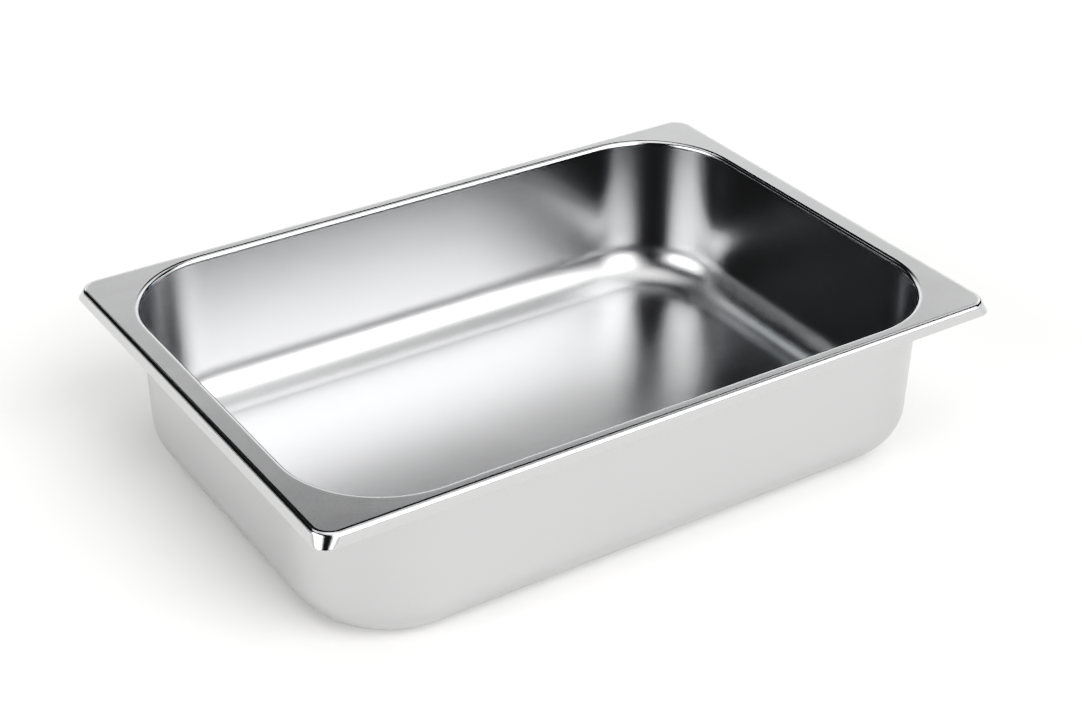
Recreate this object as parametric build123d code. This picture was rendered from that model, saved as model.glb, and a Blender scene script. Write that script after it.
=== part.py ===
from build123d import *
import math
import os

# A deep-drawn stainless display pan: one sheet makes the floor, the walls, the flange and the
# turned-down skirt. Millimetres, +X along the long side, +Z up, origin at the centre of the base.

# Overall size: over the skirt's lower edge, before that edge is rounded, and from the base to the
# top of the flange.
PAN_LENGTH = 360.0
PAN_WIDTH = 250.0
PAN_HEIGHT = 80.0
SHEET = 0.8

# Skirt: the flange's outer edge, bent down and flared outwards a little.
SKIRT_DROP = 6.3
SKIRT_FLARE = 13.0  # degrees from vertical, along the sides
SKIRT_CORNER = 6.7  # plan radius at the lower edge
CORNER_FLARE = 32.0  # degrees from vertical, on a corner's diagonal: the corners are softer
SKIRT_BEND = 2.55  # radius of the upper side of the bend
CUT_EDGE_ROUND = 0.35

# Basin: the flange is wider at the short ends than along the long sides.
END_INSET = 12.8  # skirt's lower edge to the outside of an end wall, at the top
SIDE_INSET = 8.0  # the same for a long wall
WALL_DRAFT = 1.4  # degrees, narrowing towards the floor
BASIN_CORNER = 49.5  # plan radius outside the walls, at the top
FLOOR_BEND = 20.0  # radius outside the bend from wall to floor
MOUTH_BEND = 2.4  # radius of the upper side of the bend from flange to wall

TOLERANCE = 0.01


def leaning(rise, inset, angle):
    """How far in a surface is: it leans in by angle degrees, and is then offset by inset."""
    angle = math.radians(angle)
    return rise * math.tan(angle) + inset / math.cos(angle)


def skirt_outline(rise, inset):
    """The skirt's outline at a rise above its lower edge, moved in from its own surface by inset."""
    side_shift = leaning(rise, inset, SKIRT_FLARE)
    # A corner of radius r, its sides moved in by s, lies r * (sqrt(2) - 1) + s * sqrt(2) inside the
    # outline's sharp corner, measured along the diagonal.
    diagonal = math.sqrt(2)
    corner_shift = SKIRT_CORNER * (diagonal - 1) + leaning(rise, inset, CORNER_FLARE)
    corner = (corner_shift - side_shift * diagonal) / (diagonal - 1)
    outline = RectangleRounded(PAN_LENGTH - 2 * side_shift, PAN_WIDTH - 2 * side_shift, corner)
    return Pos(0, 0, PAN_HEIGHT - SKIRT_DROP + rise) * outline


def skirt_block(inset):
    """The flange and skirt's outer shape, moved in from its own surface by inset."""
    outlines = [skirt_outline(0, inset), skirt_outline(SKIRT_DROP - inset, inset)]
    block = loft(outlines, ruled=True)
    top_edges = block.faces().sort_by(Axis.Z)[-1].edges()
    return fillet(top_edges, SKIRT_BEND - inset)


def basin_block(inset):
    """The basin's outer shape, moved in from its own surface by inset, up to the flange's top."""
    shift = inset / math.cos(math.radians(WALL_DRAFT))
    outline = RectangleRounded(
        PAN_LENGTH - 2 * (END_INSET + shift),
        PAN_WIDTH - 2 * (SIDE_INSET + shift),
        BASIN_CORNER - shift,
    )
    depth = PAN_HEIGHT - inset
    block = extrude(Pos(0, 0, PAN_HEIGHT) * outline, depth, dir=(0, 0, -1), taper=WALL_DRAFT)
    floor_edges = block.faces().sort_by(Axis.Z)[0].edges()
    return fillet(floor_edges, FLOOR_BEND - inset)


def edges_at(solid, height, half_length):
    """Edges lying flat at one height, no further out along X than half_length."""
    level = solid.edges().filter_by_position(Axis.Z, height - TOLERANCE, height + TOLERANCE)
    return [edge for edge in level if edge.bounding_box().max.X < half_length]


def pressed_sheet():
    """The whole pan as one closed solid of even thickness."""
    flange_and_skirt = skirt_block(0) - skirt_block(SHEET)
    sheet = flange_and_skirt + basin_block(0) - basin_block(SHEET)

    wall_half_length = PAN_LENGTH / 2 - END_INSET + TOLERANCE
    mouth = edges_at(sheet, PAN_HEIGHT, wall_half_length)
    sheet = fillet(mouth, MOUTH_BEND)
    under_flange = edges_at(sheet, PAN_HEIGHT - SHEET, wall_half_length)
    sheet = fillet(under_flange, MOUTH_BEND - SHEET)

    lower_edge = edges_at(sheet, PAN_HEIGHT - SKIRT_DROP, PAN_LENGTH)
    return fillet(lower_edge, CUT_EDGE_ROUND)


os.makedirs("parts", exist_ok=True)
pan = pressed_sheet().solid()
print("valid", pan.is_valid, "volume", round(pan.volume), "size", pan.bounding_box().size)
export_step(pan, "parts/pan.step")
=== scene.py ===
import math

import bpy
from mathutils import Matrix, Vector


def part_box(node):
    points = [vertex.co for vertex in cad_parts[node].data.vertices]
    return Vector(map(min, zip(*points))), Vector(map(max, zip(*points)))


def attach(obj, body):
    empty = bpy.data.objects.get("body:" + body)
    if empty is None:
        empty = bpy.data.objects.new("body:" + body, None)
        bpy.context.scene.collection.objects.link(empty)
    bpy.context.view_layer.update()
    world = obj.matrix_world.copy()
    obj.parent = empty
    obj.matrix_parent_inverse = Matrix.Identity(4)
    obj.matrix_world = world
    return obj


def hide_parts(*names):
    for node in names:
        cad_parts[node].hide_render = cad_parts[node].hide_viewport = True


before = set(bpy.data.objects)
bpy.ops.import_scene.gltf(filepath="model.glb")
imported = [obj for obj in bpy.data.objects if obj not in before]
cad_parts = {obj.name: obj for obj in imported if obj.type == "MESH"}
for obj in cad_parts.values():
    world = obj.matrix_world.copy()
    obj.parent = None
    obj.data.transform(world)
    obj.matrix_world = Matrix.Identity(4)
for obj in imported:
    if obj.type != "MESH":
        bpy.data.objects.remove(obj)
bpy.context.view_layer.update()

MM = 0.001
low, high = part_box("pan")

# The pressed sheet's section, in metres. These repeat the driving dimensions of the CAD part.
HEIGHT = high.z
SHEET = 0.8 * MM
SKIRT_DROP = 6.3 * MM
SKIRT_FLARE = math.radians(13.0)
SKIRT_CORNER = 6.7 * MM
CORNER_FLARE = math.radians(32.0)
SKIRT_BEND = 2.55 * MM
CUT_EDGE_ROUND = 0.35 * MM
END_INSET = 12.8 * MM
SIDE_INSET = 8.0 * MM
WALL_DRAFT = math.radians(1.4)
BASIN_CORNER = 49.5 * MM
FLOOR_BEND = 20.0 * MM
MOUTH_BEND = 2.4 * MM

# The skirt's faces meet the cut edge's plane in sharp corners, which the rounding cuts back.
OUTER_ANGLE = math.pi / 2 - SKIRT_FLARE
EDGE_TRIM = CUT_EDGE_ROUND * (1 / math.tan(OUTER_ANGLE / 2) - 1)
RIM_HALF_X = high.x + EDGE_TRIM
RIM_HALF_Y = high.y + EDGE_TRIM
SKIRT_FOOT = HEIGHT - SKIRT_DROP

# Mesh density: steps round a plan corner, along a side, and round the section's bends.
CORNER_STEPS = 20
LONG_STEPS = 30
SHORT_STEPS = 20
TIGHT_BEND_STEPS = 12
FLOOR_BEND_STEPS = 24
CUT_EDGE_STEPS = 6
# Where rings lie on the flat parts: shares of the way up the skirt and down the wall, and shares of
# the floor's size.
SKIRT_SHARES = (0.08, 0.3, 0.5, 0.7, 0.92)
WALL_SHARES = (0.01, 0.1, 0.2, 0.3, 0.4, 0.5, 0.6, 0.7, 0.8, 0.9, 0.99)
FLOOR_SHARES = (0.998, 0.97, 0.9, 0.8, 0.68, 0.56, 0.44, 0.32, 0.2, 0.09)
# Widths of the two narrow rows of faces that keep the flats flat beside a bend.
HOLD = 0.12 * MM
WIDE_HOLD = 5 * HOLD
NUDGE = 1e-4  # radians, for a slope by differences

# The polish attribute: how far the tools have burnished the sheet.
BEND_POLISH = 1.0
WALL_POLISH = 0.65
BEND_BORDER_POLISH = 0.6
FLANGE_POLISH = 0.0
FLOOR_POLISH = -1.0  # duller than the flange
SATIN_END = 0.4  # the polish at which the satin grain is gone

# The finish, from the floor's to the bends'.
DULL_ROUGHNESS = 0.36
SATIN_ROUGHNESS = 0.33
POLISHED_ROUGHNESS = 0.25
DULL_GRAIN = 0.3  # how much of the flange's grain the floor has
STEEL_DARK = (0.516, 0.517, 0.521, 1)
STEEL_PALE = (0.58, 0.581, 0.585, 1)
SHEET_MOTTLE = 0.7  # how much of the way from dark to pale the satin mottle spans
BURNISHED = 1.0 - SHEET_MOTTLE / 2  # how far along that way the burnished parts are

# Its layers: noise cells a metre, their stretch along each axis, the height that the noise's whole
# range stands for, and what that range adds to the roughness.
GRAIN_CELLS = 1000
GRAIN_DEPTH = 0.014 * MM
GRAIN_ROUGHNESS = 0.05
LINE_CELLS = 2600
LINE_STRETCH = (45, 1, 1)
LINE_DEPTH = 0.0003 * MM
LINE_ROUGHNESS = 0.01
PATCH_CELLS = 22  # the sheet's slight waves, and the patches where scratches lie
WAVE_DEPTH = 0.15 * MM
SMEAR_CELLS = 60
SMEAR_STRETCH = (1.5, 1, 1)
SMEAR_ROUGHNESS = 0.03
SCRATCH_CELLS = 900
SCRATCH_STRETCH = (110, 1.2, 1.6)
SCRATCH_DEPTH = 0.0005 * MM
SCRATCH_ROUGHNESS = 0.06

FLOOR_HALF_SIZE = 6.0
FLOOR_COLOUR = (0.84, 0.835, 0.825, 1)
FLOOR_CELLS = 40
FLOOR_GLOW = 0.05


# ---------------------------------------------------------------- outlines

def between(a, b, share):
    return tuple(x + (y - x) * share for x, y in zip(a, b))


def steps(start, end, count):
    """count values after start, up to and with end."""
    return [start + (end - start) * i / count for i in range(1, count + 1)]


def corner_point(half_x, half_y, radius, turn):
    """Point of a rounded rectangle's first corner, where its outward direction has turned by turn."""
    return half_x - radius + radius * math.cos(turn), half_y - radius + radius * math.sin(turn)


def ring(first_corner):
    """A closed loop round the pan, anticlockwise, from a function that gives the points of its
    first corner for a turn of 0 to 90 degrees. The other corners mirror it."""
    corners = []
    for i, (side_x, side_y) in enumerate(((1, 1), (-1, 1), (-1, -1), (1, -1))):
        turns = [math.pi / 2 * step / CORNER_STEPS for step in range(CORNER_STEPS + 1)]
        if i % 2:
            turns.reverse()
        points = [first_corner(turn) for turn in turns]
        corners.append([Vector((side_x * x, side_y * y, z)) for x, y, z in points])
    loop = []
    for i, corner in enumerate(corners):
        loop += corner
        start, end = corner[-1], corners[(i + 1) % 4][0]
        count = SHORT_STEPS if i % 2 else LONG_STEPS
        loop += [start.lerp(end, step / count) for step in range(1, count)]
    return loop


# ---------------------------------------------------------------- skirt and its bend

def leaning(rise, inset, angle):
    """How far in a surface is: it leans in by angle, and is then offset by inset."""
    return rise * math.tan(angle) + inset / math.cos(angle)


def skirt_outline(rise, inset):
    """Half length, half width and corner radius of the skirt at a rise above its lower edge."""
    side_shift = leaning(rise, inset, SKIRT_FLARE)
    diagonal = math.sqrt(2)
    corner_shift = SKIRT_CORNER * (diagonal - 1) + leaning(rise, inset, CORNER_FLARE)
    corner = (corner_shift - side_shift * diagonal) / (diagonal - 1)
    return RIM_HALF_X - side_shift, RIM_HALF_Y - side_shift, corner


def skirt_section(turn, inset):
    """Lower edge, skirt and bend in the direction of one turn, from the lower edge up: points
    (x, y, z). inset 0 gives the upper, outer face, and inset SHEET the lower, inner one."""
    rise = SKIRT_DROP - inset

    def lean(at):
        foot = corner_point(*skirt_outline(0, inset), at)
        top = corner_point(*skirt_outline(rise, inset), at)
        reach = foot[0] * math.cos(at) + foot[1] * math.sin(at)
        lean_in = reach - top[0] * math.cos(at) - top[1] * math.sin(at)
        return foot, reach, math.atan(lean_in / rise)

    def bend_reach(at):
        """Reach of the bend's centre line: the ball that rolls along the inside of the bend."""
        _, reach, flare = lean(at)
        drop = HEIGHT - SKIRT_BEND - SKIRT_FOOT
        return reach - (SKIRT_BEND - inset + drop * math.sin(flare)) / math.cos(flare)

    foot, _, flare = lean(turn)
    out = Vector((math.cos(turn), math.sin(turn), 0))
    along = Vector((-math.sin(turn), math.cos(turn), 0))
    up = Vector((0, 0, 1))
    slide = (bend_reach(turn + NUDGE) - bend_reach(turn - NUDGE)) / (2 * NUDGE)
    centre = out * bend_reach(turn) + along * slide + up * (HEIGHT - SKIRT_BEND)
    radius = SKIRT_BEND - inset
    angles = [flare] + steps(flare, math.pi / 2, TIGHT_BEND_STEPS)
    bend = [centre + (out * math.cos(a) + up * math.sin(a)) * radius for a in angles]

    edge_angle = math.pi / 2 - flare if inset == 0 else math.pi / 2 + flare
    reach = CUT_EDGE_ROUND / math.tan(edge_angle / 2)
    away = -1 if inset == 0 else 1  # towards the middle of the sheet
    edge_centre = Vector((*foot, SKIRT_FOOT + CUT_EDGE_ROUND)) + out * reach * away
    last = flare if inset == 0 else math.pi + flare
    first = -math.pi / 2 if inset == 0 else 3 * math.pi / 2
    angles = [first] + steps(first, last, CUT_EDGE_STEPS)
    edge = [edge_centre + (out * math.cos(a) + up * math.sin(a)) * CUT_EDGE_ROUND for a in angles]
    skirt = [edge[-1].lerp(bend[0], share) for share in SKIRT_SHARES]
    return edge, skirt, bend


def skirt_rings(inset):
    """(loop, polish) from the lower edge to the top of the bend."""
    rings = []
    sections = {}

    def section(turn):
        if turn not in sections:
            sections[turn] = [p for part in skirt_section(turn, inset) for p in part]
        return sections[turn]

    for k in range(len(section(0.0))):
        rings.append((ring(lambda turn: section(turn)[k]), BEND_POLISH))
    for width, polish in ((HOLD, BEND_BORDER_POLISH), (WIDE_HOLD, FLANGE_POLISH)):
        def flat(turn):
            out = Vector((math.cos(turn), math.sin(turn), 0))
            return section(turn)[-1] - out * width
        rings.append((ring(flat), polish))
    return rings


# ---------------------------------------------------------------- basin

def arc(centre, radius, start, end, count):
    """Points (offset, z) round a centre, angles in radians from the inward direction upwards."""
    return [
        (centre[0] + radius * math.cos(angle), centre[1] + radius * math.sin(angle))
        for angle in [start] + steps(start, end, count)
    ]


def basin_section(inset):
    """Mouth bend, wall and floor bend, from the flange down: (offset from the wall's outer face at
    the top, z). inset 0 gives the upper, inner face, and inset SHEET the lower, outer one."""
    shift = SHEET / math.cos(WALL_DRAFT)
    slope = math.tan(WALL_DRAFT)
    mouth_z = HEIGHT - MOUTH_BEND
    mouth_centre = (shift + MOUTH_BEND * slope - MOUTH_BEND / math.cos(WALL_DRAFT), mouth_z)
    mouth = arc(mouth_centre, MOUTH_BEND - inset, math.pi / 2, WALL_DRAFT, TIGHT_BEND_STEPS)
    bend = FLOOR_BEND - SHEET
    fall = HEIGHT - FLOOR_BEND
    floor_centre = (shift + fall * slope + bend / math.cos(WALL_DRAFT), FLOOR_BEND)
    floor = arc(floor_centre, bend + inset, math.pi + WALL_DRAFT, 3 * math.pi / 2, FLOOR_BEND_STEPS)
    wall = [between(mouth[-1], floor[0], share) for share in WALL_SHARES]
    return mouth, wall, floor


def basin_ring(offset, z, shrink=1.0):
    half_x = (RIM_HALF_X - END_INSET - offset) * shrink
    half_y = (RIM_HALF_Y - SIDE_INSET - offset) * shrink
    radius = (BASIN_CORNER - offset) * shrink
    return ring(lambda turn: (*corner_point(half_x, half_y, radius, turn), z))


def basin_rings(inset):
    """(loop, polish) from the flange to the middle of the floor."""
    mouth, wall, floor = basin_section(inset)
    z = HEIGHT - inset
    rings = [
        (basin_ring(mouth[0][0] - WIDE_HOLD, z), FLANGE_POLISH),
        (basin_ring(mouth[0][0] - HOLD, z), BEND_BORDER_POLISH),
    ]
    rings += [(basin_ring(*p), BEND_POLISH) for p in mouth]
    rings += [(basin_ring(*p), WALL_POLISH) for p in wall]
    fade = [WALL_POLISH] + steps(WALL_POLISH, FLOOR_POLISH, len(floor) - 1)
    rings += [(basin_ring(*p), polish) for p, polish in zip(floor, fade)]
    for shrink in FLOOR_SHARES:
        rings.append((basin_ring(*floor[-1], shrink), FLOOR_POLISH))
    return rings


# ---------------------------------------------------------------- the mesh

def build_pan():
    """The whole sheet as one closed mesh: upper face, cut edge and lower face."""
    upper = skirt_rings(0) + basin_rings(0)
    lower = skirt_rings(SHEET) + basin_rings(SHEET)
    loops = list(reversed(upper)) + lower
    count = len(loops[0][0])
    mesh = bpy.data.meshes.new("pan_sheet")
    vertices = [p for loop, _ in loops for p in loop]
    polish = [value for loop, value in loops for _ in loop]
    faces = []
    for row in range(len(loops) - 1):
        for i in range(count):
            j = (i + 1) % count
            a, b = row * count, (row + 1) * count
            faces.append((a + i, b + i, b + j, a + j))
    for row, flip in ((0, True), (len(loops) - 1, False)):
        vertices.append(Vector((0, 0, loops[row][0][0].z)))
        polish.append(loops[row][1])
        centre = len(vertices) - 1
        for i in range(count):
            j = (i + 1) % count
            triangle = (row * count + i, row * count + j, centre)
            faces.append(triangle if flip else tuple(reversed(triangle)))
    mesh.from_pydata(vertices, [], faces)
    mesh.update()
    mesh.polygons.foreach_set("use_smooth", [True] * len(mesh.polygons))
    attribute = mesh.attributes.new("polish", "FLOAT", "POINT")
    attribute.data.foreach_set("value", polish)
    pan = bpy.data.objects.new("pan_sheet", mesh)
    bpy.context.scene.collection.objects.link(pan)
    return pan


# ---------------------------------------------------------------- materials

def feed(tree, socket, value):
    """Links a socket to another node's output, or sets it to a plain value."""
    if isinstance(value, bpy.types.NodeSocket):
        tree.links.new(value, socket)
    else:
        socket.default_value = value


def maths(tree, operation, *values):
    node = tree.nodes.new("ShaderNodeMath")
    node.operation = operation
    for socket, value in zip(node.inputs, values):
        feed(tree, socket, value)
    return node.outputs["Value"]


def ramp(tree, value, start, end, low=0.0, high=1.0, smooth=True):
    """low up to start, high from end on, and a smooth or straight change between them."""
    node = tree.nodes.new("ShaderNodeMapRange")
    node.interpolation_type = "SMOOTHSTEP" if smooth else "LINEAR"
    feed(tree, node.inputs["Value"], value)
    feed(tree, node.inputs["From Min"], start)
    feed(tree, node.inputs["From Max"], end)
    feed(tree, node.inputs["To Min"], low)
    feed(tree, node.inputs["To Max"], high)
    return node.outputs["Result"]


def noise(tree, place, scale, stretch=(1, 1, 1), detail=2.0, roughness=0.5):
    """Noise of so many cells a metre, divided by stretch along each axis."""
    mapping = tree.nodes.new("ShaderNodeMapping")
    mapping.inputs["Scale"].default_value = tuple(scale / s for s in stretch)
    tree.links.new(place, mapping.inputs["Vector"])
    node = tree.nodes.new("ShaderNodeTexNoise")
    node.inputs["Scale"].default_value = 1.0
    node.inputs["Detail"].default_value = detail
    node.inputs["Roughness"].default_value = roughness
    tree.links.new(mapping.outputs["Vector"], node.inputs["Vector"])
    return node.outputs["Fac"]


def bump(tree, height, depth, normal=None):
    """depth is the height in metres that a change of height from 0 to 1 stands for."""
    node = tree.nodes.new("ShaderNodeBump")
    node.inputs["Strength"].default_value = 1.0
    node.inputs["Distance"].default_value = depth
    tree.links.new(height, node.inputs["Height"])
    if normal is not None:
        tree.links.new(normal, node.inputs["Normal"])
    return node.outputs["Normal"]


def new_material(name):
    material = bpy.data.materials.new(name)
    material.use_nodes = True
    tree = material.node_tree
    tree.nodes.clear()
    out = tree.nodes.new("ShaderNodeOutputMaterial")
    shader = tree.nodes.new("ShaderNodeBsdfPrincipled")
    tree.links.new(shader.outputs["BSDF"], out.inputs["Surface"])
    return material, tree, shader


def steel():
    """Satin rolled sheet, brighter where the tools have burnished it, with light scratches."""
    material, tree, shader = new_material("stainless_sheet")
    place = tree.nodes.new("ShaderNodeTexCoord").outputs["Object"]
    polish_node = tree.nodes.new("ShaderNodeAttribute")
    polish_node.attribute_name = "polish"
    polish = polish_node.outputs["Fac"]
    dull = ramp(tree, polish, FLOOR_POLISH, FLANGE_POLISH, 1.0, 0.0, smooth=False)
    satin = ramp(tree, polish, FLANGE_POLISH, SATIN_END, 1.0, 0.0)
    satin = maths(tree, "MULTIPLY", satin, ramp(tree, dull, 0.0, 1.0, 1.0, DULL_GRAIN))

    grain = noise(tree, place, GRAIN_CELLS, detail=2, roughness=0.65)
    lines = noise(tree, place, LINE_CELLS, LINE_STRETCH, detail=1)
    patches = noise(tree, place, PATCH_CELLS, detail=1)
    smears = noise(tree, place, SMEAR_CELLS, SMEAR_STRETCH, detail=3, roughness=0.6)
    scratches = ramp(tree, noise(tree, place, SCRATCH_CELLS, SCRATCH_STRETCH, detail=1), 0.70, 0.76)
    scratches = maths(tree, "MULTIPLY", scratches, ramp(tree, patches, 0.5, 0.65))
    scratches = maths(tree, "MULTIPLY", scratches, satin)

    roughness = ramp(
        tree, polish, FLANGE_POLISH, BEND_POLISH, SATIN_ROUGHNESS, POLISHED_ROUGHNESS, smooth=False
    )
    roughness = maths(tree, "MULTIPLY_ADD", dull, DULL_ROUGHNESS - SATIN_ROUGHNESS, roughness)
    for layer, amount in ((grain, GRAIN_ROUGHNESS), (lines, LINE_ROUGHNESS), (smears, SMEAR_ROUGHNESS)):
        change = maths(tree, "MULTIPLY", maths(tree, "SUBTRACT", layer, 0.5), amount)
        roughness = maths(tree, "MULTIPLY_ADD", change, satin, roughness)
    roughness = maths(tree, "MULTIPLY_ADD", scratches, SCRATCH_ROUGHNESS, roughness)
    tree.links.new(roughness, shader.inputs["Roughness"])

    colour = tree.nodes.new("ShaderNodeMix")
    colour.data_type = "RGBA"
    colour.inputs["A"].default_value = STEEL_DARK
    colour.inputs["B"].default_value = STEEL_PALE
    shade = maths(tree, "ADD", maths(tree, "MULTIPLY", smears, 0.5), maths(tree, "MULTIPLY", grain, 0.5))
    mottle = maths(tree, "MULTIPLY", ramp(tree, shade, 0.35, 0.65, 0.0, SHEET_MOTTLE), satin)
    burnish = ramp(tree, polish, FLANGE_POLISH, WALL_POLISH, 0.0, BURNISHED)
    tree.links.new(maths(tree, "ADD", mottle, burnish), colour.inputs["Factor"])
    tree.links.new(colour.outputs["Result"], shader.inputs["Base Color"])

    normal = bump(tree, patches, WAVE_DEPTH)
    normal = bump(tree, maths(tree, "MULTIPLY", grain, satin), GRAIN_DEPTH, normal)
    normal = bump(tree, maths(tree, "MULTIPLY", lines, satin), LINE_DEPTH, normal)
    normal = bump(tree, scratches, -SCRATCH_DEPTH, normal)
    tree.links.new(normal, shader.inputs["Normal"])
    shader.inputs["Metallic"].default_value = 1.0
    return material


def floor_material():
    material, tree, shader = new_material("pale_floor")
    place = tree.nodes.new("ShaderNodeTexCoord").outputs["Object"]
    shader.inputs["Base Color"].default_value = FLOOR_COLOUR
    roughness = ramp(tree, noise(tree, place, FLOOR_CELLS), 0.3, 0.7, 0.88, 0.96)
    tree.links.new(roughness, shader.inputs["Roughness"])
    shader.inputs["Emission Color"].default_value = (1, 1, 1, 1)
    shader.inputs["Emission Strength"].default_value = FLOOR_GLOW
    return material


# ---------------------------------------------------------------- stage, light and camera

# The camera's direction from the middle of the mouth, and how far beside that point it aims, across
# and up its own view. The lens is in millimetres.
AZIMUTH = math.radians(-33.31)
ELEVATION = math.radians(30.85)
ROLL = math.radians(0.37)
DISTANCE = 988.6 * MM
AIM_RIGHT = 4.5 * MM
AIM_UP = -32.2 * MM
LENS = 69.27
CLIP_START = 10 * MM


def add_camera():
    back = Vector((
        math.sin(AZIMUTH) * math.cos(ELEVATION),
        -math.cos(AZIMUTH) * math.cos(ELEVATION),
        math.sin(ELEVATION),
    ))
    level = (-back).cross(Vector((0, 0, 1))).normalized()
    upright = level.cross(-back)
    right = level * math.cos(ROLL) + upright * math.sin(ROLL)
    up = upright * math.cos(ROLL) - level * math.sin(ROLL)
    place = Vector((0, 0, HEIGHT)) + right * AIM_RIGHT + up * AIM_UP + back * DISTANCE
    data = bpy.data.cameras.new("camera")
    data.lens = LENS
    data.clip_start = CLIP_START
    camera = bpy.data.objects.new("camera", data)
    turn = Matrix((right, up, back)).transposed()
    camera.matrix_world = Matrix.Translation(place) @ turn.to_4x4()
    bpy.context.scene.collection.objects.link(camera)
    bpy.context.scene.camera = camera


def add_floor():
    mesh = bpy.data.meshes.new("floor")
    corners = [(x * FLOOR_HALF_SIZE, y * FLOOR_HALF_SIZE, 0) for x, y in ((-1, -1), (1, -1), (1, 1), (-1, 1))]
    mesh.from_pydata(corners, [], [(0, 1, 2, 3)])
    floor = bpy.data.objects.new("floor", mesh)
    mesh.materials.append(floor_material())
    bpy.context.scene.collection.objects.link(floor)


# The studio's lights, as soft-edged rectangles seen from the pan. Angles are in degrees: azimuth
# from the camera's own, towards the right-hand end of the pan, and elevation above the floor.
# (azimuth, elevation, half width, half height, edge softness, brightness, colour)
LAMPS = (
    (51, 36, 32, 26, 14, 4.6, (1.0, 1.0, 1.0)),
    (-57, 22, 22, 12, 8, 5.8, (1.0, 1.0, 1.0)),
    (-112, 54, 20, 8, 10, 1.6, (0.95, 0.98, 1.0)),
    (180, 19, 40, 11, 12, 1.6, (1.0, 1.0, 1.0)),
    (140, 40, 16, 16, 12, 1.2, (1.0, 1.0, 1.0)),
    (100, 7, 20, 5, 6, 2.0, (0.85, 0.93, 1.0)),
    (-104, 12, 20, 7, 8, 0.5, (1.0, 1.0, 1.0)),
)
# Between the lights the room is nearly dark, and the pale ceiling fades in towards the zenith.
ROOM_DARK = 0.02
CEILING = 1.7
CEILING_START = math.radians(54)
CEILING_FULL = math.radians(80)


def add_world():
    """A dim studio with soft lights round it and a pale ceiling. The camera itself sees white."""
    world = bpy.data.worlds.new("studio")
    world.use_nodes = True
    bpy.context.scene.world = world
    tree = world.node_tree
    axes = tree.nodes.new("ShaderNodeSeparateXYZ")
    tree.links.new(tree.nodes.new("ShaderNodeTexCoord").outputs["Generated"], axes.inputs["Vector"])
    around = maths(tree, "ARCTAN2", axes.outputs["Y"], axes.outputs["X"])
    above = maths(tree, "ARCSINE", axes.outputs["Z"])
    camera_azimuth = math.atan2(-math.cos(AZIMUTH), math.sin(AZIMUTH))

    light = tree.nodes.new("ShaderNodeCombineColor")
    top = ramp(tree, above, CEILING_START, CEILING_FULL, ROOM_DARK, CEILING)
    for socket in ("Red", "Green", "Blue"):
        tree.links.new(top, light.inputs[socket])
    total = light.outputs["Color"]
    for azimuth, elevation, half_width, half_height, softness, brightness, colour in LAMPS:
        centre = camera_azimuth + math.radians(azimuth)
        turn = maths(tree, "WRAP", maths(tree, "SUBTRACT", around, centre), math.pi, -math.pi)
        rise = maths(tree, "SUBTRACT", above, math.radians(elevation))
        mask = 1.0
        for offset, half in ((turn, half_width), (rise, half_height)):
            start = math.radians(half - softness / 2)
            end = math.radians(half + softness / 2)
            inside = ramp(tree, maths(tree, "ABSOLUTE", offset), start, end, 1.0, 0.0)
            mask = maths(tree, "MULTIPLY", mask, inside)
        lamp = tree.nodes.new("ShaderNodeVectorMath")
        lamp.operation = "MULTIPLY_ADD"
        lamp.inputs[0].default_value = tuple(brightness * c for c in colour)
        tree.links.new(mask, lamp.inputs[1])
        tree.links.new(total, lamp.inputs[2])
        total = lamp.outputs["Vector"]

    background = tree.nodes["Background"]
    tree.links.new(total, background.inputs["Color"])
    seen = tree.nodes.new("ShaderNodeBackground")
    seen.inputs["Color"].default_value = (1, 1, 1, 1)
    choice = tree.nodes.new("ShaderNodeMixShader")
    is_camera = tree.nodes.new("ShaderNodeLightPath").outputs["Is Camera Ray"]
    tree.links.new(is_camera, choice.inputs["Fac"])
    tree.links.new(background.outputs["Background"], choice.inputs[1])
    tree.links.new(seen.outputs["Background"], choice.inputs[2])
    tree.links.new(choice.outputs["Shader"], tree.nodes["World Output"].inputs["Surface"])


# Display contrast: (light in, light out), with deep shadows and a little lift in the highlights.
CONTRAST = ((0.0, 0.0), (0.06, 0.004), (0.13, 0.02), (0.2, 0.115), (0.35, 0.37), (0.55, 0.6), (1.0, 1.0))


def set_contrast():
    view = bpy.context.scene.view_settings
    view.view_transform = "Standard"
    view.use_curve_mapping = True
    curve = view.curve_mapping.curves[3]
    curve.points[0].location = CONTRAST[0]
    curve.points[1].location = CONTRAST[-1]
    for point in CONTRAST[1:-1]:
        curve.points.new(*point)
    view.curve_mapping.update()


pan = build_pan()
pan.data.materials.append(steel())
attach(pan, "root")
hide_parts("pan")
add_floor()
add_camera()
add_world()
set_contrast()
